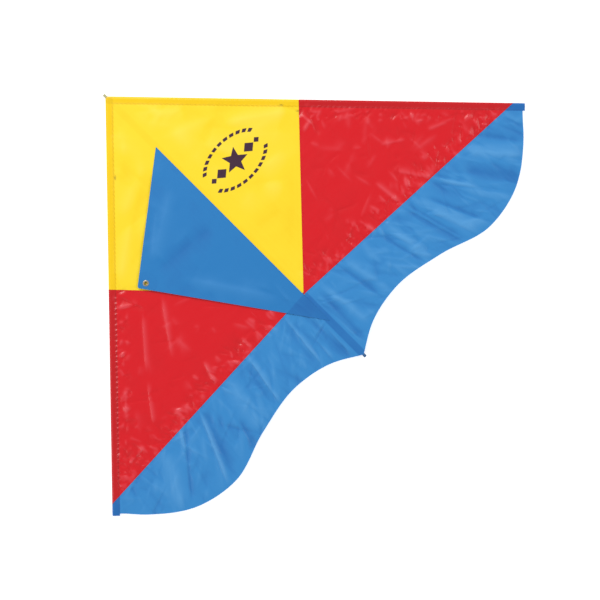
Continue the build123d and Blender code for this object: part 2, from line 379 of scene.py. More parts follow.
def gathers(along, inset, strength):
    """The small regular gathers that the welder's bar left behind a hem."""
    wave = np.cos(2 * math.pi * along / gather_pitch + 0.9 * np.sin(along / 47))
    behind_weld = np.exp(-((inset - 13.5) / 3.4) ** 2)
    return strength * wave * smooth((along - hem_start) / 40) * behind_weld


print("over the spar the film rises", round(float(hem_shape(100.0, spar_inset)), 2), "mm")

# %% [markdown]
# The sail's height adds the slope of each wing, the slack of the panels, the long folds and
# the small ones. Folds fade beside the spine and the hems, where rods hold the film straight.

# %% Height of the sail
panel_slack = 1.6
band_droop = 2.2
red_gathers = {1: 0.2, -1: 0.7}


def sail_height(x, y, side):
    """Height of one wing's film above the hinge line, and the folds' share of it."""
    rng = np.random.default_rng(11 if side > 0 else 23)
    out = np.abs(x)
    along, inset = edge_measures(x, y)
    depth = band_depth(x, y)
    relief = np.zeros_like(x)
    for shape in (right_folds if side > 0 else left_folds):
        relief += fold(x, y, *shape)
    for shape in both_folds:
        relief += fold(out, y, *shape)
    for small in small_folds:
        relief += puckers(out, y, rng, *small)
    red = smooth((along - nose_seam_along) / 20) * smooth((band_seam_along - along) / 60)
    strength = 0.1 + red_gathers[side] * red
    slack = -panel_slack * smooth(inset / 90) * smooth(out / 120) * smooth(1.6 - depth / 40)
    droop = -band_droop * smooth(depth / 110) * smooth(out / 60)
    calm_width = 16 + 34 * smooth(1 - depth / 30)
    calm = smooth((inset - 2) / 26) * smooth((out - 3) / calm_width)
    height = -out * wing_slope + (relief + slack) * calm + droop
    return height + hem_shape(along, inset) + gathers(along, inset, strength), relief * calm


tip_z, _ = sail_height(seam_end[:1], seam_end[1:], 1)
print("the film falls", round(float(-tip_z[0]), 1), "mm from the spine to the wing's corner")

# %% [markdown]
# ## Film panels
# A panel is an outline filled with small triangles of even size: a grid of points inside it
# and closer points on its edge go through a Delaunay triangulation. Folds then have
# enough points wherever they run, which a grid cut by the outline wouldn't give.

# %% Fill an outline with triangles
def resampled(points, spacing):
    """The outline with points no further apart than the spacing."""
    out = []
    for a, b in zip(points, points[1:] + points[:1]):
        a = np.array(a, float)
        b = np.array(b, float)
        count = max(1, int(math.hypot(*(b - a)) / spacing + 0.5))
        out += [a + (b - a) * i / count for i in range(count)]
    return np.array(out)


def inside(points, ring):
    """Which points lie inside the ring, and their distance to it."""
    hit = np.zeros(len(points), bool)
    gap = np.full(len(points), 1e9)
    px, py = points[:, 0], points[:, 1]
    for a, b in zip(ring, np.roll(ring, -1, axis=0)):
        if a[1] != b[1]:
            crosses = (a[1] > py) != (b[1] > py)
            hit ^= crosses & (px < (b[0] - a[0]) * (py - a[1]) / (b[1] - a[1]) + a[0])
        run = b - a
        t = np.clip(((px - a[0]) * run[0] + (py - a[1]) * run[1]) / (run @ run), 0, 1)
        gap = np.minimum(gap, np.hypot(px - a[0] - t * run[0], py - a[1] - t * run[1]))
    return hit, gap


def filled(outline, spacing, holes=()):
    """Triangles of even size inside an outline, as points and index triples."""
    rings = [resampled(outline, spacing)] + [np.array(hole) for hole in holes]
    low = rings[0].min(axis=0)
    high = rings[0].max(axis=0)
    grid = []
    for row, y in enumerate(np.arange(low[1], high[1], spacing * 0.866)):
        shift = spacing / 2 if row % 2 else 0.0
        grid += [(x + shift, y) for x in np.arange(low[0], high[0], spacing)]
    grid = np.array(grid)
    keep, gap = inside(grid, rings[0])
    keep &= gap > spacing * 0.45
    for ring in rings[1:]:
        held, gap = inside(grid, ring)
        keep &= ~held & (gap > spacing * 0.3)
    points = [tuple(p) for ring in rings for p in ring]
    edges = []
    start = 0
    for ring in rings:
        edges += [(start + i, start + (i + 1) % len(ring)) for i in range(len(ring))]
        start += len(ring)
    points += [tuple(p) for p in grid[keep]]
    made = delaunay_2d_cdt([Vector(p) for p in points], edges, [], 0, 1e-6)
    flat = np.array([tuple(v) for v in made[0]])
    faces = np.array(made[2])
    middle = flat[faces].mean(axis=1)
    good, _ = inside(middle, rings[0])
    for ring in rings[1:]:
        held, _ = inside(middle, ring)
        good &= ~held
    return flat, faces[good]


_, trial = filled([(0, 0), (20, 0), (20, 20), (0, 20)], 5.0)
print("a 20 mm square fills with", len(trial), "triangles")

# %% [markdown]
# The film gets its thickness from Solidify, applied at once, so that each sheet is a final
# mesh. Three attributes go with each sheet: "layers" says how many films lie on each other
# there, with a painted shadow line added at the hem's inner weld, "crease" how much the film
# is folded, which the finish also paints as highlight on ridges and shade in valleys, and
# "worked" how near it is to a weld, where it crinkles most.

# %% Make a sheet
film_thickness = 0.12


def new_object(name, mesh, material):
    """An object in the scene for a mesh, in one material."""
    thing = bpy.data.objects.new(name, mesh)
    bpy.context.scene.collection.objects.link(thing)
    mesh.materials.clear()
    mesh.materials.append(material)
    return thing


def final_mesh(thing):
    """Replaces a piece's modifiers with the mesh that they make."""
    graph = bpy.context.evaluated_depsgraph_get()
    mesh = bpy.data.meshes.new_from_object(thing.evaluated_get(graph), depsgraph=graph)
    mesh.name = thing.name
    thing.modifiers.clear()
    thing.data = mesh
    return thing


def thickened(thing, thickness=film_thickness):
    """Gives film its thickness, below the surface that was made."""
    solid = thing.modifiers.new("thickness", "SOLIDIFY")
    solid.thickness = thickness * MM
    solid.offset = -1.0
    final_mesh(thing)
    thing.data.set_sharp_from_angle(angle=math.radians(60))
    return thing


def sheet(name, flat, faces, z, attributes, material):
    """One sheet of film from flat points, triangles and heights."""
    mesh = bpy.data.meshes.new(name)
    first, second, third = (flat[faces[:, i]] for i in range(3))
    turned_down = np.cross(second - first, third - first) < 0
    faces = np.where(turned_down[:, None], faces[:, ::-1], faces)
    mesh.from_pydata(placed(flat[:, 0], flat[:, 1], z).tolist(), [], faces.tolist())
    for key, values in attributes.items():
        made = mesh.attributes.new(key, "FLOAT", "POINT")
        made.data.foreach_set("value", values.astype(np.float32))
    mesh.shade_smooth()
    thing = thickened(new_object(name, mesh, material))
    print(name, len(thing.data.polygons), "faces")
    return thing


print("film", film_thickness, "mm thick")

# %% [markdown]
# ## Finishes
# A finish is a material with its tree. Its constants are set on the shader's own sockets,
# and what varies over the surface feeds colour, roughness or the bump.

# %% The finish class
class Finish(Tree):
    """One material and the nodes that shape its surface."""

    def __init__(self, name, **constants):
        self.material = bpy.data.materials.new(name)
        self.material.use_nodes = True
        super().__init__(self.material.node_tree)
        self.shader = self.nodes.nodes["Principled BSDF"]
        for socket, value in constants.items():
            self.shader.inputs[socket.replace("_", " ")].default_value = value

    def place(self):
        """Object coordinates, which are scene metres on every piece."""
        return self.node("ShaderNodeTexCoord", output="Object")

    def stretched(self, scale, turn=0.0):
        values = {"Vector": self.place(), "Rotation": (0, 0, turn), "Scale": scale}
        return self.node("ShaderNodeMapping", None, values)

    def noise(self, vector, scale, detail=3.0, rough=0.55, kind="FBM"):
        values = {"Vector": vector, "Scale": scale, "Detail": detail, "Roughness": rough}
        return self.node("ShaderNodeTexNoise", {"noise_type": kind}, values)

    def mix(self, factor, a, b):
        settings = {"data_type": "RGBA"}
        return self.node("ShaderNodeMix", settings, {0: factor, 6: a, 7: b}, output=2)

    def attribute(self, name):
        return self.node("ShaderNodeAttribute", {"attribute_name": name}, output="Fac")

    def feed(self, **links):
        for socket, value in links.items():
            self.nodes.links.new(value.socket, self.shader.inputs[socket.replace("_", " ")])

    def bump(self, height, distance):
        self.feed(Normal=self.node("ShaderNodeBump", None, {"Height": height, "Distance": distance}))


def colour(red, green, blue):
    """A display colour from 0 to 255 as the linear colour that shaders use."""
    def linear(value):
        value /= 255
        return value / 12.92 if value <= 0.04045 else ((value + 0.055) / 1.055) ** 2.4
    return (linear(red), linear(green), linear(blue), 1.0)


print("middle grey is", round(colour(128, 128, 128)[0], 3), "as a linear colour")

# %% [markdown]
# Blown film is never flat in colour: the gauge wanders, the die leaves faint lines, and two
# layers look deeper than one. Light is painted on as well: fold ridges get a paler painted
# highlight, valleys a deeper painted shade, and the hem's inner weld and a few short marks
# beside the hem a painted shadow. The fine crinkle is bump, on top of the folds that are real
# geometry, and it grows beside the welds.

# %% Film
# How much darker the colour goes past two layers: real where the hems cross at the nose, painted
# shadow along the hem's inner weld line.
triple_and_shadow_dimming = 0.78
# How far fold ridges go lighter, as a painted highlight, and valleys deeper, as a painted shade.
crease_light_and_shade = 0.62
# The brown of the painted shadow marks beside the hem.
hem_shadow_colour = colour(70, 52, 30)


def film(name, inks, rough, crinkle, coat):
    """Film in one colour: the inks are one layer's colour, that of two, and a paler colour painted on
    fold ridges as a painted highlight.
    """
    single, double, pale = (colour(*ink) for ink in inks)
    finish = Finish(name, IOR=1.42, Coat_Weight=coat, Coat_Roughness=0.16, Coat_IOR=1.4)
    layers = finish.attribute("layers")
    crease = finish.attribute("crease")
    worked = finish.attribute("worked")
    cloud = finish.noise(finish.place(), 16.0, 5.0)
    die_lines = finish.noise(finish.stretched((160.0, 5.0, 1.0)), 1.0, 2.0)
    uneven = (cloud - 0.5) * 0.9 + (die_lines - 0.5) * 0.3
    # Ridges pull the colour towards one layer and valleys towards two: painted highlight and painted
    # shade on the folds.
    gauge = (uneven + (layers - 1.0) - crease * crease_light_and_shade).within()
    base = finish.mix(gauge, single, double)
    # Past two layers the colour darkens: real where the hems cross at the nose, painted shadow on the
    # hem's weld line.
    weld = tuple(triple_and_shadow_dimming * channel for channel in double[:3]) + (1.0,)
    welded = finish.mix((layers - 2.0).within(), base, weld)
    # The pale ink on fold ridges is a painted highlight.
    creased = finish.mix((crease * 0.6).within(), welded, pale)
    # Short dark painted shadow marks beside the hem.
    finish.base = finish.mix(finish.attribute("painted_hem_shadow").within(), creased, hem_shadow_colour)
    finish.feed(Base_Color=finish.base)
    sharp = finish.noise(finish.stretched((1, 1, 1), 0.7), 34.0, 3.5, 0.6, "RIDGED_MULTIFRACTAL")
    broad = finish.noise(finish.stretched((1, 2.2, 1), -0.5), 14.0, 2.0)
    depth = (worked * 0.8 + 0.12) * crinkle
    finish.bump(sharp * 0.35 * depth + broad * 1.2 * crinkle + die_lines * 0.02, 0.0011)
    finish.feed(Roughness=(cloud - 0.5) * 0.12 + rough)
    return finish


# Each film's inks: one layer, two layers, and the pale colour of the painted highlight on fold ridges.
yellow_inks = ((255, 222, 38), (250, 206, 6), (255, 234, 96))
red_inks = ((220, 6, 24), (199, 8, 20), (242, 98, 110))
blue_inks = ((52, 138, 205), (28, 106, 180), (94, 166, 224))
keel_inks = ((36, 124, 192), (26, 98, 172), (72, 148, 212))
yellow_film = film("yellow_film", yellow_inks, rough=0.42, crinkle=0.25, coat=0.05)
red_film = film("red_film", red_inks, rough=0.34, crinkle=1.0, coat=0.42)
blue_film = film("blue_film", blue_inks, rough=0.42, crinkle=0.6, coat=0.03)
keel_film = film("keel_film", keel_inks, rough=0.44, crinkle=0.35, coat=0.02)
print("film finishes ready")

# %% [markdown]
# The right nose panel carries a printed emblem: a star between lozenges, inside a broken
# oval. It is ink on the film, so it is a mask in that panel's own finish.

# %% Printed emblem
emblem_x = 91.0
emblem_y = -268.0
ink = colour(49, 0, 55)
printed = film("printed_yellow_film", yellow_inks, rough=0.42, crinkle=0.25, coat=0.05)
place_x, place_y, _ = printed.parts(printed.place())
print_x = (place_x - emblem_x * MM) * (1 / MM)
print_y = (place_y - wing_hinge.y - emblem_y * MM) * (1 / MM)


def star_mask(outer, inner):
    """A five-pointed star: the edge from each point to each notch is a straight line."""
    sector = 2 * math.pi / 5
    angle = print_y.math("ARCTAN2", print_x) + math.pi / 2
    folded = abs((angle / sector).math("FRACT") - 0.5) * sector
    to_point = (sector / 2 - folded).math("SINE") * outer
    to_notch = folded.math("SINE") * inner
    reach = (print_x * print_x + print_y * print_y).math("SQRT")
    return (reach * (to_point + to_notch)).below(outer * inner * math.sin(sector / 2), 3.0)


def lozenge_mask(out, wide, tall):
    """Two lozenges, one on each side of the star."""
    return (abs(abs(print_x) - out) / wide + abs(print_y) / tall).below(1.0, 0.06)


def oval_mask(wide, tall, dashes):
    """The upper and lower parts of an oval, in dashes."""
    x = print_x / wide
    y = print_y / tall
    turns = y.math("ARCTAN2", x) * (dashes / (2 * math.pi))
    dash = abs(turns.math("FRACT") - 0.5).below(0.33, 0.03)
    band = abs((x * x + y * y).math("SQRT") - 1.0).below(0.065, 0.012)
    return band * dash * abs(y).math("GREATER_THAN", 0.42)


mask = star_mask(outer=27.0, inner=12.0)
for shape in (
    lozenge_mask(out=37.0, wide=13.0, tall=11.0),
    lozenge_mask(out=58.0, wide=7.0, tall=6.0),
    oval_mask(wide=72.0, tall=44.0, dashes=30),
):
    mask = mask.math("MAXIMUM", shape)
speckle = printed.noise(printed.place(), 900.0, 1.0)
printed.feed(Base_Color=printed.mix(mask * (0.96 + speckle * 0.04), printed.base, ink))
print("emblem at", emblem_x, emblem_y)

# %% [markdown]
# ## The six sail panels
# Both wings share one set of outlines. The red panel laps over its neighbours by a few
# millimetres, as welded film does, so the yellow and blue sheets run on under it.

# %% Panel outlines
lap = 4.0
lap_drop = 0.55
sheet_drop = 0.1
# The scallop's points: share of the half span, then depth below the band's seam.
scallop = [(0.105, 130.0), (0.245, 111.0), (0.43, 123.0), (0.615, 148.0), (0.77, 127.0), (0.91, 66.0)]
on_spine = np.array([0.0, -seam_on_spine])
nose_seam = on_edge(nose_seam_along)
seam_run = unit(nose_seam - on_spine)


def through(points, start_tangent, end_tangent, steps=14):
    """A smooth curve through points: cubic spans with matched tangents."""
    points = [np.array(p, float) for p in points]
    chords = [math.hypot(*(b - a)) for a, b in zip(points, points[1:])]
    slopes = [(b - a) / chord for a, b, chord in zip(points, points[1:], chords)]
    tangents = [np.array(start_tangent, float)]
    for i in range(1, len(chords)):
        weight = chords[i - 1] / (chords[i - 1] + chords[i])
        tangents.append(slopes[i - 1] * (1 - weight) + slopes[i] * weight)
    tangents.append(np.array(end_tangent, float))
    curve = []
    for i, chord in enumerate(chords):
        for t in np.arange(steps) / steps:
            rise = 3 * t**2 - 2 * t**3
            leave = chord * (t**3 - 2 * t**2 + t)
            arrive = chord * (t**3 - t**2)
            point = (1 - rise) * points[i] + rise * points[i + 1]
            curve.append(point + leave * tangents[i] + arrive * tangents[i + 1])
    return curve + [points[-1]]


def trailing_edge():
    """The scalloped edge, from the tail to the band's corner at the wing tip."""
    points = [(0.0, -sail_length)]
    for share, depth in scallop:
        x = share * half_span
        points.append((x, -seam_on_spine + seam_fall * x - depth))
    points.append(on_edge(edge_length - hem_overrun, hem_width))
    return through(points, (0.86, 0.5), -inward)


outlines = {
    "nose_panel": [(0.0, 0.0), (0.0, -seam_on_spine - lap), tuple(on_edge(nose_seam_along + lap))],
    "wing_panel": [tuple(on_spine), tuple(seam_end), tuple(nose_seam)],
    "trailing_panel": [(0.0, -seam_on_spine + lap)]
    + [tuple(point) for point in trailing_edge()]
    + [tuple(on_edge(edge_length, hem_width)), tuple(on_edge(edge_length))]
    + [tuple(on_edge(band_seam_along - lap))],
}
print({name: len(points) for name, points in outlines.items()})


# %% [markdown]
# A sheet also knows where it is double, with a painted shadow line at the hem's weld, where a
# weld has worked it and where short painted shadow marks lie beside the hem.
# These follow from the same measures as the outlines, so they are worked out per point.

# %% What each sheet knows
def under_lap(kind, x, y):
    """How far a sheet is pressed down where the red film laps over it."""
    if kind == "wing_panel":
        return np.zeros_like(x)
    if kind == "nose_panel":
        away = (y - on_spine[1]) * seam_run[0] - np.abs(x) * seam_run[1]
    else:
        away = band_depth(x, y)
    return sheet_drop + (lap_drop - sheet_drop) * smooth(1.6 - away / 6.0)


def film_layers(x, y):
    """How many films lie on each other: the hems, their crossing at the nose, the spine, and a painted
    shadow line at the hem's inner weld.
    """
    _, inset = edge_measures(x, y)
    # A painted shadow line along the hem's inner weld, added as extra layers so that it darkens.
    weld_shadow_line = 0.9 * np.exp(-((inset - 13.8) / 1.1) ** 2)
    other = -np.abs(x) * inward[0] + y * inward[1]
    hem = smooth((hem_width - inset) / 0.8 + 0.5)
    crossing = smooth((hem_width - other) / 0.8 + 0.5)
    spine = smooth((7.5 - np.abs(x)) / 1.5 + 0.5)
    in_band = smooth(band_depth(x, y) / 4.0)
    return 1.0 + hem + weld_shadow_line + 0.5 * crossing + (0.25 + 0.5 * in_band) * spine * (1 - hem)


def near_welds(x, y):
    """How much the film crinkles: most in the red beside the band, the hem and the corner."""
    along, inset = edge_measures(x, y)
    above_band = np.exp(-np.abs(band_depth(x, y)) / 42)
    beside_hem = 0.5 * np.exp(-np.abs(inset - 18) / 14)
    corner = np.exp(-np.hypot(along - 395, inset - 20) / 38)
    return np.clip(above_band + beside_hem + corner, 0, 1.2)


# Short painted shadow marks beside the hem: middle, then half length.
hem_shadow_marks = [((-99, -126), 4.0), ((231, -255), 3.5), ((246, -286), 3.0)]


def hem_shadow_amount(x, y):
    """How dark the painted shadow marks are: short lines that run along the hem."""
    along, inset = edge_measures(x, y)
    total = np.zeros_like(x)
    for (mark_x, mark_y), half in hem_shadow_marks:
        mark_along, mark_inset = edge_measures(mark_x, mark_y)
        near = np.exp(-(((along - mark_along) / half) ** 2) - ((inset - mark_inset) / 1.3) ** 2)
        total += 0.8 * near * (np.sign(x) == np.sign(mark_x))
    return total


# %% [markdown]
# The left wing is made from the right wing's points with x turned round, which keeps both
# meshes alike, while each wing has folds of its own. The red and blue film is creased more
# finely than the yellow, so its triangles are smaller.

# %% Build both wings' panels
spacing = 2.4
fine = 0.75 * spacing
panel_spacing = {"nose_panel": spacing, "wing_panel": fine, "trailing_panel": fine}
flats = {kind: filled(outline, panel_spacing[kind]) for kind, outline in outlines.items()}
finishes = {"nose_panel": yellow_film, "wing_panel": red_film, "trailing_panel": blue_film}
panels = {}
for side, sign in wings:
    for kind, (flat, faces) in flats.items():
        x, y = flat[:, 0] * sign, flat[:, 1]
        z, relief = sail_height(x, y, sign)
        attributes = {
            "layers": film_layers(x, y),
            "crease": np.clip(relief / 2.0, -1.0, 1.0),
            "worked": near_welds(x, y),
            "painted_hem_shadow": hem_shadow_amount(x, y),
        }
        finish = printed if (side, kind) == ("right", "nose_panel") else finishes[kind]
        drop = under_lap(kind, x, y)
        points = np.stack([x, y], axis=1)
        name = f"{side}_{kind}_film"
        panels[side, kind] = sheet(name, points, faces, z - drop, attributes, finish.material)

# %% [markdown]
# ## Rules for what is swept or repeated
# The hems' back layers and the spine's pocket all have one section, a film hump round a
# rod between flat welds, and the welds are a row of fine ribs. Each is a Geometry Nodes
# tree with its sizes as named inputs. A rule makes its shape on a straight line in
# millimetres, and the result is then laid along the kite as one plain mesh.

# %% The rule class
class Rule(Tree):
    """A geometry tree with named inputs that ends in one realised mesh."""

    def __init__(self, name, **defaults):
        super().__init__(bpy.data.node_groups.new(name, "GeometryNodeTree"))
        self.sockets = {}
        for key, value in defaults.items():
            socket = self.socket(key, "Int" if isinstance(value, int) else "Float")
            socket.default_value = value
            self.sockets[key] = socket.identifier
        self.sockets["finish"] = self.socket("finish", "Material").identifier
        self.socket("Geometry", "Geometry", "OUTPUT")
        self.entry = self.nodes.nodes.new("NodeGroupInput")

    def socket(self, name, kind, side="INPUT"):
        """A new input or output of the tree."""
        kind = "NodeSocket" + kind
        return self.nodes.interface.new_socket(name, in_out=side, socket_type=kind)

    def value(self, key):
        return Field(self, self.entry.outputs[key])

    def vector(self, x, y, z):
        return self.node("ShaderNodeCombineXYZ", None, {"X": x, "Y": y, "Z": z})

    def end(self, geometry):
        real = self.node("GeometryNodeRealizeInstances", None, {"Geometry": geometry})
        dressed = {"Geometry": real, "Material": self.value("finish")}
        done = self.node("GeometryNodeSetMaterial", None, dressed)
        exit_node = self.nodes.nodes.new("NodeGroupOutput")
        self.nodes.links.new(done.socket, exit_node.inputs["Geometry"])

    def make(self, name, finish, **values):
        """Runs the rule on an empty mesh and keeps the plain result."""
        thing = new_object(name, bpy.data.meshes.new(name), finish.material)
        modifier = thing.modifiers.new("rule", "NODES")
        modifier.node_group = self.nodes
        modifier[self.sockets["finish"]] = finish.material
        for key, value in values.items():
            modifier[self.sockets[key]] = value
        return final_mesh(thing)


def laid(thing, lay):
    """Moves a straight piece's points, in millimetres, to their place on the kite."""
    count = len(thing.data.vertices)
    local = np.empty(count * 3)
    thing.data.vertices.foreach_get("co", local)
    across, along, height = local.reshape(-1, 3).T
    x, y, z = lay(across, along, height)
    thing.data.vertices.foreach_set("co", placed(x, y, z).ravel())
    thing.data.update()
    return thing


def mark(thing, **values):
    """Constant attributes, so that a strip reads like the sheets do."""
    for key, value in values.items():
        made = thing.data.attributes.new(key, "FLOAT", "POINT")
        made.data.foreach_set("value", np.full(len(thing.data.vertices), value, np.float32))
    return thing


# %% [markdown]
# The pocket starts as a flat grid, and one smooth hump across it drops round the rod. A
# swept profile would do as well, but a grid keeps its columns where the hump bends most
# and takes a little noise for the slack of real film.

# %% Rule: a film pocket round a rod
pocket = Rule(
    "film_pocket",
    start=0.0,
    length=100.0,
    first_across=0.0,
    width=hem_width,
    columns=26,
    rows=80,
    rod_across=spar_inset,
    rod_reach=3.5,
    depth=4.85,
    slack=0.25,
    seed=3,
)
grid_inputs = {
    "Size X": pocket.value("width"),
    "Size Y": pocket.value("length"),
    "Vertices X": pocket.value("columns"),
    "Vertices Y": pocket.value("rows"),
}
grid = pocket.node("GeometryNodeMeshGrid", None, grid_inputs)
grid_x, grid_y, _ = pocket.parts(pocket.node("GeometryNodeInputPosition"))
across = grid_x + pocket.value("width") / 2 + pocket.value("first_across")
along = grid_y + pocket.value("length") / 2 + pocket.value("start")
off_rod = abs(across - pocket.value("rod_across")) / pocket.value("rod_reach")
hump = (-(off_rod**3.0)).math("EXPONENT") * pocket.value("depth")
wobble_place = pocket.vector(across * 0.08, along * 0.03, pocket.value("seed"))
wobble = pocket.node("ShaderNodeTexNoise", None, {"Vector": wobble_place, "Scale": 1.0, "Detail": 2.0})
bent = pocket.vector(across, along, -(hump + wobble * pocket.value("slack")))
pocket.end(pocket.node("GeometryNodeSetPosition", None, {"Geometry": grid, "Position": bent}))
print("pocket rule", len(pocket.nodes.nodes), "nodes")

# %% [markdown]
# A rib is a long flat bead, and a weld has one every few millimetres. Points on a line carry
# copies of one small ball, each stretched by its own random length, so a rib has few faces.

# %% Rule: the fine ribs of a heat weld
rib_sizes = {"pitch": 2.4, "rib_length": 4.5, "rib_width": 0.5, "rib_height": 0.16}
ribs = Rule("weld_ribs", start=0.0, length=100.0, **rib_sizes, seed=1)
count = (ribs.value("length") / ribs.value("pitch")).math("FLOOR")
line_start = ribs.vector(0.0, ribs.value("start"), 0.0)
line_step = ribs.vector(0.0, ribs.value("pitch"), 0.0)
line_inputs = {"Count": count, "Start Location": line_start, "Offset": line_step}
line = ribs.node("GeometryNodeMeshLine", None, line_inputs)
rib = ribs.node("GeometryNodeMeshUVSphere", None, {"Segments": 8, "Rings": 4, "Radius": 1.0})
chance = {2: 0.75, 3: 1.15, "Seed": ribs.value("seed")}
uneven = ribs.node("FunctionNodeRandomValue", {"data_type": "FLOAT"}, chance, output=1)
half_length = ribs.value("rib_length") / 2 * uneven
rib_size = ribs.vector(half_length, ribs.value("rib_width") / 2, ribs.value("rib_height"))
row_inputs = {"Points": line, "Instance": rib, "Scale": rib_size}
row = ribs.node("GeometryNodeInstanceOnPoints", None, row_inputs)
ribs.end(row)
print("rib rule", len(ribs.nodes.nodes), "nodes")

# %% [markdown]
# ## Hems and the spine's pocket
# The hem goes round the spar and is welded to the sail's back. It is open where the
# connector comes out, just past the yellow panel, and each part has its panel's colour.

# %% Hem backs
window_end = 403.5
hem_parts = {
    "nose_panel": (hem_start, nose_seam_along),
    "wing_panel": (window_end, band_seam_along),
    "trailing_panel": (band_seam_along, edge_length),
}
row_step = 1.6
back_gap = 0.9
band_run = unit(seam_end - on_spine)
band_slant = (band_run @ edge_dir) / (band_run @ inward)


def hem_lay(sign, kind):
    """Lays a hem's back under the sail's film; its end at the band follows the seam."""
    def lay(across, along, height):
        to_seam = {
            "nose_panel": np.zeros_like(along),
            "wing_panel": smooth((along - band_seam_along) / 60 + 1),
            "trailing_panel": 1 - (along - band_seam_along) / (edge_length - band_seam_along),
        }[kind]
        along = along + across * band_slant * to_seam
        flat = along[:, None] * edge_dir + across[:, None] * inward
        x, y = sign * flat[:, 0], flat[:, 1]
        return x, y, sail_height(x, y, sign)[0] + height - back_gap
    return lay


def film_strip(name, finish, lay, span, worked, flipped=False, **section):
    """A pocket over one span of its rod, laid on the kite and given its thickness."""
    first, last = span
    rows = int((last - first) / row_step) + 2
    strip = pocket.make(name, finish, start=first, length=last - first, rows=rows, **section)
    laid(strip, lay)
    if flipped:
        strip.data.flip_normals()
    mark(strip, layers=1.6, crease=0.0, worked=worked)
    strip.data.shade_smooth()
    print(name, round(last - first), "mm long")
    return thickened(strip)


hems = {}
for side, sign in wings:
    for kind, span in hem_parts.items():
        name = f"{side}_{kind}_hem"
        lay = hem_lay(sign, kind)
        hems[side, kind] = film_strip(name, finishes[kind], lay, span, 0.6, flipped=sign > 0)

# %% [markdown]
# The spine's pocket is the same rule with the rod in its middle. It stops short of both
# ends, where the rod comes out for its caps, and changes colour at the band's seam.

# %% Spine pocket
def spine_lay(across, along, height):
    """Lays the spine's pocket under the film, on both sides of the hinge line."""
    right_z, left_z = (sail_height(across, -along, side)[0] for side in (1, -1))
    film_z = np.where(across > 0, right_z, left_z)
    return across, -along, film_z + height - back_gap


sleeves = {}
sleeve_spans = {
    "spine_sleeve_front": (11.0, seam_on_spine),
    "spine_sleeve_tail": (seam_on_spine, sail_length - 10.0),
}
sleeve_finishes = {"spine_sleeve_front": yellow_film, "spine_sleeve_tail": blue_film}
sleeve_width = 15.4
sleeve_section = {
    "first_across": -sleeve_width / 2,
    "width": sleeve_width,
    "rod_across": 0.0,
    "rod_reach": 3.9,
    "depth": 5.5,
}
for name, span in sleeve_spans.items():
    finish = sleeve_finishes[name]
    sleeves[name] = film_strip(name + "_film", finish, spine_lay, span, 0.4, **sleeve_section)

# %% [markdown]
# ## Weld ribs
# The welder's bar was knurled, so each weld shows a row of fine ribs across it.

# %% Ribs along every weld
def rib_lay(sign, start, run, inset_dir, drop):
    """Lays a row of ribs from start along run, on top of the sail."""
    def lay(across, along, height):
        x = sign * (start[0] + run[0] * along + inset_dir[0] * across)
        y = start[1] + run[1] * along + inset_dir[1] * across
        film_z, _ = sail_height(x, y, sign)
        return x, y, film_z + height - drop
    return lay


def rib_row(name, finish, sign, start, end, seed):
    start, end = np.array(start, float), np.array(end, float)
    span = math.hypot(*(end - start))
    run = (end - start) / span
    row = ribs.make(name, finish, start=2.0, length=span - 4.0, seed=seed)
    laid(row, rib_lay(sign, start, run, np.array([run[1], -run[0]]), 0.02))
    row.data.shade_smooth()
    return mark(row, layers=1.9, crease=0.0, worked=0.2)


rib_rows = {}
weld = hem_width - 2.6
in_red = np.array([1.6, -1.6])
above_band = np.array([0.0, 2.6])
seam_start, seam_stop = on_spine + seam_run * 26, nose_seam - seam_run * 16
band_start, band_stop = on_spine + band_run * 24, seam_end - band_run * 24
for side, sign in wings:
    rows = {
        "nose_hem": ("nose_panel", on_edge(34, weld), on_edge(nose_seam_along - 6, weld)),
        "wing_hem": ("wing_panel", on_edge(window_end + 2, weld), on_edge(band_seam_along - 22, weld)),
        "nose_seam": ("wing_panel", seam_start + in_red, seam_stop + in_red),
        "band_seam": ("wing_panel", band_start + above_band, band_stop + above_band),
    }
    for number, (name, (kind, start, end)) in enumerate(rows.items()):
        piece = rib_row(f"{side}_{name}_ribs", finishes[kind], sign, start, end, number + 1)
        rib_rows[side, name] = (piece, kind)
print(len(rib_rows), "rib rows")

# %% [markdown]
# ## Keel
# The keel is a triangle of film folded down on the left wing. It lies a little above the
# sail, keeps soft folds of its own, and has a tab welded on where the grommet goes through.

# %% The keel's outline and folds
keel_front = 140.0
keel_rear = 620.0
keel_corner = np.array([-220.5, -309.5])
grommet_at = np.array([-202.5, -314.5])
hole_r = 3.62
tab_r = 22.0
tab_inset = 2.5
tab_lift = 0.16
keel_raise = (keel_hinge.z - wing_hinge.z) / MM + 0.1
keel_gap = 0.35
keel_folds = [
    ((-4, -158), (-34, -180), 6, 0.64, 0.2),
    ((-30, -215), (-170, -300), 12, 0.96, 0.2),
    ((-84, -226), (-166, -294), 5, 0.64, 0.3),
    ((-20, -330), (-185, -312), 14, -0.96, 0.0),
    ((-10, -560), (-150, -352), 10, 1.12, 0.3),
    ((-24, -485), (-32, -565), 4, 1.12, 0.4),
    ((-10, -590), (-56, -470), 6, -1.12, 0.3),
    ((-6, -606), (-22, -540), 4, 1.28, 0.3),
]


def ring_points(centre, radius, count=32):
    turns = np.arange(count) * 2 * math.pi / count
    return [centre + radius * np.array([math.cos(t), math.sin(t)]) for t in turns]


def rounded_corner(before, corner, after, radius, steps=6):
    """Points of a small curve that rounds a corner."""
    before, corner, after = (np.array(p, float) for p in (before, corner, after))
    a = corner + unit(before - corner) * radius
    b = corner + unit(after - corner) * radius
    shares = np.linspace(0, 1, steps)
    return [tuple((1 - t) ** 2 * a + 2 * t * (1 - t) * corner + t * t * b) for t in shares]


def over_keel(rng):
    share = rng.uniform(0.05, 0.95)
    x = -rng.uniform(10, 190) * (1 - abs(share - 0.4))
    return np.array([x, -keel_front - share * (keel_rear - keel_front)]), rng.uniform(0, math.pi)


print("keel", keel_rear - keel_front, "mm long at its root")

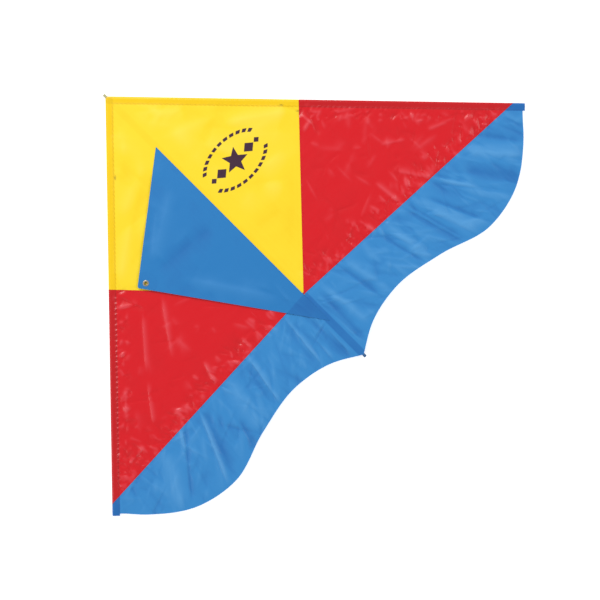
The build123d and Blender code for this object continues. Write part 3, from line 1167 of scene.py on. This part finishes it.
# %% [markdown]
# The keel can't sink into the sail, so its height is its own or the sail's, whichever is
# higher. The film stays flat round the grommet, which holds it between two rings.

# %% Keel film
keel_small_folds = (over_keel, 40, (30, 120), (6.0, 14.0), (0.1, 0.4), 0.5)


def keel_height(x, y):
    """Height of the keel's film, draped over the sail, and its folds, which spare the grommet."""
    relief = np.zeros_like(x)
    for shape in keel_folds:
        relief += fold(x, y, *shape)
    relief += puckers(x, y, np.random.default_rng(5), *keel_small_folds)
    eye = np.hypot(x - grommet_at[0], y - grommet_at[1])
    relief *= smooth((np.abs(x) - 4) / 45) * smooth((eye - 8) / 16)
    sail_z, _ = sail_height(x, y, -1)
    return np.maximum(keel_raise + relief, sail_z + keel_gap), relief


keel_outline = [(0.0, -keel_front)]
keel_outline += rounded_corner((0, -keel_front), keel_corner, (0, -keel_rear), 4.0)
keel_outline += [(0.0, -keel_rear)]
flat, faces = filled(keel_outline, spacing, [ring_points(grommet_at, hole_r)])
z, relief = keel_height(flat[:, 0], flat[:, 1])
over_band_part = smooth(band_depth(flat[:, 0], flat[:, 1]) / 1.5 + 0.5)
attributes = {
    "layers": 1.0 + 0.5 * over_band_part,
    "crease": np.clip(relief / 2.0, -1.0, 1.0),
    "worked": 0.2 + 0.6 * over_band_part,
}
keel_piece = sheet("keel_film_sheet", flat, faces, z, attributes, keel_film.material)

# %% [markdown]
# The tab is a rounded patch of the same film, as wide as its radius round the grommet, cut
# back a little from the keel's own edges.

# %% Keel tab
def tab_outline():
    """Points round the grommet, held inside the keel's two edges at the free corner."""
    front = np.array([0.0, -keel_front])
    rear = np.array([0.0, -keel_rear])
    points = []
    for point in ring_points(grommet_at, tab_r, 72):
        for start, end in ((front, keel_corner), (keel_corner, rear)):
            run = unit(end - start)
            normal = np.array([-run[1], run[0]])
            room = (point - start) @ normal - tab_inset
            if room < 0:
                point = point - normal * room
        points.append(tuple(point))
    return points


flat, faces = filled(tab_outline(), min(spacing, 2.0), [ring_points(grommet_at, hole_r)])
z, _ = keel_height(flat[:, 0], flat[:, 1])
attributes = {"layers": np.full(len(flat), 1.15), "crease": 0 * z, "worked": 0 * z + 0.4}
tab_piece = sheet("keel_tab_film", flat, faces, z + tab_lift, attributes, keel_film.material)

# %% [markdown]
# ## Turned pieces
# The grommet and the soft caps are round, so each is a profile of radius and height spun
# about its axis. Rounded lips catch the light where the CAD model has plain edges.

# %% Turn a profile
def turned(name, profile, origin, axis, finish, count=48):
    """Spins (radius, height) points about an axis; the profile closes on itself or on the axis."""
    axis = Vector(axis).normalized()
    basis = axis.to_track_quat("Z", "Y").to_matrix()
    points = []
    for radius, height in profile:
        for step in range(count):
            turn = 2 * math.pi * step / count
            local = Vector((radius * math.cos(turn), radius * math.sin(turn), height)) * MM
            points.append(Vector(origin) + basis @ local)
    faces = []
    rings = len(profile)
    closed = profile[0][0] > 0 and profile[-1][0] > 0
    for ring in range(rings if closed else rings - 1):
        after = (ring + 1) % rings
        for step in range(count):
            turn = (step + 1) % count
            low, high = ring * count, after * count
            faces.append((low + step, low + turn, high + turn, high + step))
    mesh = bpy.data.meshes.new(name)
    mesh.from_pydata(points, [], faces)
    thing = new_object(name, mesh, finish.material)
    tidy = thing.modifiers.new("tidy", "WELD")
    tidy.merge_threshold = 1e-6
    final_mesh(thing)
    thing.data.shade_smooth()
    return outward(thing)


def outward(thing):
    """Turns every face of a closed piece outwards."""
    work = bmesh.new()
    work.from_mesh(thing.data)
    bmesh.ops.recalc_face_normals(work, faces=work.faces)
    work.to_mesh(thing.data)
    work.free()
    return thing


def arc(centre, radius, start, end, steps=6):
    """Profile points on an arc, in degrees."""
    turns = np.radians(np.linspace(start, end, steps))
    return [(centre[0] + radius * math.cos(t), centre[1] + radius * math.sin(t)) for t in turns]


print("a rounded lip has", len(arc((0, 0), 1.0, 0, 90)), "points")

# %% [markdown]
# The grommet is nickel-plated brass, a little rubbed. Caps are dipped vinyl with a soft
# sheen, rods are drawn glass fibre with streaks along them, and connectors are moulded.

# %% Metal, vinyl, glass fibre and moulded plastic
def plated_metal():
    finish = Finish("plated_metal", Metallic=1.0)
    wear = finish.noise(finish.place(), 420.0, 3.0)
    finish.feed(Base_Color=finish.mix(wear, (0.50, 0.46, 0.38, 1), (0.33, 0.28, 0.20, 1)))
    finish.feed(Roughness=wear * 0.25 + 0.3)
    finish.bump(finish.noise(finish.place(), 1500.0, 2.0), 0.00004)
    return finish


def dipped_vinyl(name, dark, bloomed):
    finish = Finish(name, IOR=1.5)
    bloom = finish.noise(finish.place(), 260.0, 3.0)
    finish.feed(Base_Color=finish.mix(bloom, dark, bloomed))
    finish.feed(Roughness=bloom * 0.2 + 0.36)
    finish.bump(finish.noise(finish.place(), 1200.0, 2.0), 0.00005)
    return finish


def drawn_fibre(name, turn):
    finish = Finish(name, IOR=1.52, Coat_Weight=0.2, Coat_Roughness=0.25)
    streak = finish.noise(finish.stretched((3000.0, 14.0, 3000.0), turn), 1.0, 2.0)
    finish.feed(Base_Color=finish.mix(streak, (0.018, 0.019, 0.021, 1), (0.075, 0.074, 0.070, 1)))
    finish.feed(Roughness=streak * 0.25 + 0.3)
    finish.bump(streak, 0.00006)
    return finish


def moulded_plastic():
    finish = Finish("moulded_plastic", IOR=1.48)
    grain = finish.noise(finish.place(), 1800.0, 2.0)
    flow = finish.noise(finish.place(), 90.0, 2.0)
    finish.feed(Base_Color=finish.mix(flow, (0.016, 0.016, 0.018, 1), (0.032, 0.032, 0.034, 1)))
    finish.feed(Roughness=grain * 0.15 + 0.42)
    finish.bump(grain, 0.00008)
    return finish


metal = plated_metal()
vinyl = dipped_vinyl("black_vinyl", (0.012, 0.012, 0.013, 1), (0.035, 0.035, 0.037, 1))
clear_vinyl = dipped_vinyl("clear_vinyl", (0.42, 0.39, 0.17, 1), (0.52, 0.50, 0.30, 1))
blue_vinyl = dipped_vinyl("blue_vinyl", (0.02, 0.09, 0.22, 1), (0.05, 0.13, 0.28, 1))
plastic = moulded_plastic()
edge_angle = math.atan2(edge_dir[1], edge_dir[0])
hard_finishes = {
    "spine_rod": drawn_fibre("spine_fibre", 0.0),
    "spreader_rod": drawn_fibre("spreader_fibre", math.pi / 2),
    "right_spar": drawn_fibre("right_spar_fibre", math.pi / 2 - edge_angle),
    "left_spar": drawn_fibre("left_spar_fibre", edge_angle - math.pi / 2),
}
for side in ("left", "right"):
    hard_finishes[f"{side}_connector"] = plastic
    hard_finishes[f"{side}_spar_nose_cap"] = vinyl
    hard_finishes[f"{side}_spar_tip_cap"] = vinyl
for node, finish in hard_finishes.items():
    mesh = frame["nodes"][node].data
    mesh.materials.clear()
    mesh.materials.append(finish.material)
print(len(hard_finishes), "packed pieces finished")

# %% [markdown]
# The eyelet is one piece of sheet metal: a domed flange above the film, a barrel through
# it and a lip rolled out over the washer below. Its profile runs round that section.

# %% Grommet
bore_r = 3.175
flange_r = 6.1
roll_r = 0.55
rim_r = 0.3
barrel_wall = 0.4
flange_depth = 0.74
lip = 0.2
low_eye, high_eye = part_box("grommet_eyelet")
eye_centre = [(low_eye[0] + high_eye[0]) / 2, (low_eye[1] + high_eye[1]) / 2]
eye_top = (high_eye[2] - low_eye[2]) / MM
eyelet_profile = [
    *arc((bore_r + roll_r, eye_top - 0.45), roll_r, 180, 80, 7),
    *arc((flange_r - rim_r, eye_top - 0.42), rim_r, 70, -60, 6),
    (flange_r - 0.35, eye_top - flange_depth),
    (bore_r + barrel_wall, eye_top - flange_depth),
    (bore_r + barrel_wall, lip),
    (bore_r + 1.1, lip),
    (bore_r + 1.2, lip / 2),
    (bore_r + 1.05, 0.0),
    (bore_r, 0.0),
]
low_washer, high_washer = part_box("grommet_washer")
washer_thick = (high_washer[2] - low_washer[2]) / MM
washer_profile = [
    (bore_r + 0.45, 0.0),
    (bore_r + 0.45, washer_thick),
    (flange_r - 0.1, washer_thick),
    (flange_r, washer_thick - 0.1),
    (flange_r - 0.02, 0.1),
    (flange_r - 0.15, 0.0),
]
upwards = (0, 0, 1)
eye_foot = (*eye_centre, low_eye[2])
washer_foot = (*eye_centre, low_washer[2])
eyelet = turned("grommet_eyelet_metal", eyelet_profile, eye_foot, upwards, metal)
washer = turned("grommet_washer_metal", washer_profile, washer_foot, upwards, metal)
print("grommet", len(eyelet.data.polygons) + len(washer.data.polygons), "faces")

# %% [markdown]
# A dipped cap is thickest at its rolled lip and rounded where the vinyl ran together at the
# end. The hollow is left inside, so the wall shows its thickness round the rod.

# %% Soft caps
cap_wall = 0.5
cap_fit = 0.02
end_r = 1.3
spine_r = 2.5
spreader_r = 2.0


def soft_cap(node, axis, rod_r, finish):
    """A dipped cap: rounded end, slight waist and a rolled lip. The axis points at its end."""
    low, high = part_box(node)
    low, high = Vector(low), Vector(high)
    centre = (low + high) / 2
    axis = Vector(axis)
    length = abs((high - low).dot(axis)) / MM
    outer = rod_r + cap_wall
    mouth = centre - axis * length / 2 * MM
    profile = [
        (rod_r + cap_fit, 0.0),
        (rod_r + 0.3, 0.0),
        (outer, 0.25),
        (outer, 0.9),
        (outer - 0.08, 1.5),
        (outer - 0.1, length * 0.55),
        (outer, length - 1.6),
        *arc((outer - end_r, length - end_r), end_r, 5, 85, 7),
        (0.6, length),
        (0.0, length),
        (0.0, length - 1.0),
        (rod_r - 0.3, length - 1.0),
        (rod_r + cap_fit, length - 1.3),
    ]
    return turned(node + "_vinyl", profile, mouth, axis, finish, 40)


caps = {
    "nose_cap": soft_cap("nose_cap", (0, 1, 0), spine_r, clear_vinyl),
    "tail_cap": soft_cap("tail_cap", (0, -1, 0), spine_r, blue_vinyl),
    "spreader_tip_right": soft_cap("spreader_tip_right", (1, 0, 0), spreader_r, vinyl),
    "spreader_tip_left": soft_cap("spreader_tip_left", (-1, 0, 0), spreader_r, vinyl),
}
print(len(caps), "caps turned")

# %% [markdown]
# ## Bodies
# The hems, weld ribs, spine's pocket, keel tab, grommet and caps ride on bodies. The sail is
# one film across the spine; its panels and the keel's film are set in place in the scene, and
# the CAD pieces that they stand for are hidden.

# %% Ride and replace
slots = {"nose_panel": "yellow_film", "wing_panel": "red_film", "trailing_panel": "blue_film"}
bend_start = 1.5
bend_end = 9.5
for side, sign in wings:
    wing = f"{side}_wing"
    for kind, slot in slots.items():
        piece = panels[side, kind]
        start = Vector((sign * bend_start * MM, wing_hinge.y, wing_hinge.z))
        end = Vector((sign * bend_end * MM, wing_hinge.y, wing_hinge.z))
        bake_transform(piece)
        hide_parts(f"{side}_{kind}")
        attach(hems[side, kind], wing)
for (side, name), (piece, kind) in rib_rows.items():
    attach(piece, f"{side}_wing")
for name, piece in sleeves.items():
    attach(piece, "spine")
    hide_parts(name)
    "yellow_film" if name == "spine_sleeve_front" else "blue_film"
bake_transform(keel_piece)
for piece, node, slot in (
    (keel_piece, "keel_panel", "keel_film"),
    (tab_piece, "keel_tab", "keel_film"),
    (eyelet, "grommet_eyelet", "grommet_metal"),
    (washer, "grommet_washer", "grommet_metal"),
):
    if piece is not keel_piece:
        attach(piece, "keel")
    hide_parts(node)
for node, piece in caps.items():
    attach(piece, "spreader" if node.startswith("spreader") else "spine")
    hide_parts(node)
print(len(panels) + len(hems) + len(rib_rows) + len(sleeves) + len(caps), "pieces and the keel ride")

# %% [markdown]
# ## The spine pocket's section
# Its hump is worked out across the pocket's width.


# The hump of the spine pocket's section across its width; the pocket was cut as wide as
# this section is long.
across = np.linspace(-sleeve_width / 2, sleeve_width / 2, 200)
hump = sleeve_section["depth"] * np.exp(-np.abs(across / sleeve_section["rod_reach"]) ** 3)

# %% [markdown]
# ## Floor, light and camera
# The floor is plain and pale, with a little glow of its own, so that it stays white right
# up to the thin film instead of going grey in its shadow.

# %% Floor
floor_glow = 0.5
floor_finish = Finish("floor", Roughness=0.9, Emission_Strength=floor_glow)
tone = floor_finish.noise(floor_finish.place(), 3.0)
floor_finish.feed(Base_Color=floor_finish.mix(tone, (0.93, 0.93, 0.93, 1), (0.96, 0.96, 0.96, 1)))
floor_finish.shader.inputs["Emission Color"].default_value = (1, 1, 1, 1)
floor_half = 12.0
floor_mesh = bpy.data.meshes.new("floor")
corners = [(x * floor_half, y * floor_half, 0) for x, y in ((-1, -1), (1, -1), (1, 1), (-1, 1))]
floor_mesh.from_pydata(corners, [], [(0, 1, 2, 3)])
floor = new_object("floor", floor_mesh, floor_finish.material)
print("floor", 2 * floor_half, "m wide")

# %% [markdown]
# The camera looks straight down, turned by an eighth of a circle, so that the nose points
# to the upper left and the leading edges run across and down the view.

# %% Camera
view_turn = math.radians(-45.02)
aim_out, aim_back, aim_height = -12.6, 550.7, 9.0
view_right = Vector((math.cos(view_turn), math.sin(view_turn), 0.0))
view_up = Vector((-math.sin(view_turn), math.cos(view_turn), 0.0))
view_centre = Vector((aim_out * MM, wing_hinge.y - aim_back * MM, aim_height * MM))
camera_distance = 3.26
camera_data = bpy.data.cameras.new("camera")
camera_data.lens = 100
camera_data.sensor_width = 36
camera = bpy.data.objects.new("camera", camera_data)
bpy.context.scene.collection.objects.link(camera)
turned_view = Matrix((view_right, view_up, Vector((0, 0, 1)))).transposed().to_4x4()
camera.matrix_world = Matrix.Translation(view_centre + Vector((0, 0, camera_distance))) @ turned_view
bpy.context.scene.camera = camera
bpy.context.scene.view_settings.view_transform = "Standard"
print("camera", camera_distance, "m above the kite")

# %% [markdown]
# Large soft panels stand round the kite, the strongest beyond its nose edge, and nothing
# bright hangs straight above, so that the flat film keeps its colour and only the folds'
# flanks pick up light. One narrow strip draws the thin highlights on the creases.

# %% Light
world = bpy.data.worlds.new("studio")
bpy.context.scene.world = world
world.use_nodes = True
background = world.node_tree.nodes["Background"]
background.inputs["Color"].default_value = (1, 1, 1, 1)
background.inputs["Strength"].default_value = 0.42


def softbox(name, right, up, height, width, length, power):
    """A soft panel light, placed in the view's own directions and aimed at the kite."""
    data = bpy.data.lights.new(name, "AREA")
    data.shape = "RECTANGLE"
    data.size = width
    data.size_y = length
    data.energy = power
    lamp = bpy.data.objects.new(name, data)
    bpy.context.scene.collection.objects.link(lamp)
    lamp.location = view_centre + view_right * right + view_up * up + Vector((0, 0, height))
    lamp.rotation_euler = (view_centre - lamp.location).to_track_quat("-Z", "Y").to_euler()
    return lamp


# Each panel's place to the right, up and above, its width and length, and its power.
softboxes = {
    "key": (-1.3, 2.2, 2.3, 2.2, 1.4, 53),
    "strip": (-1.1, 1.9, 2.9, 1.8, 0.35, 9),
    "left": (-2.3, -1.0, 2.2, 1.6, 1.6, 14),
    "right": (2.4, 0.6, 2.2, 1.8, 1.8, 20),
    "low": (0.6, -2.4, 2.2, 1.8, 1.8, 12),
}
for name, settings in softboxes.items():
    softbox(name, *settings)
print(len(softboxes), "soft panels")
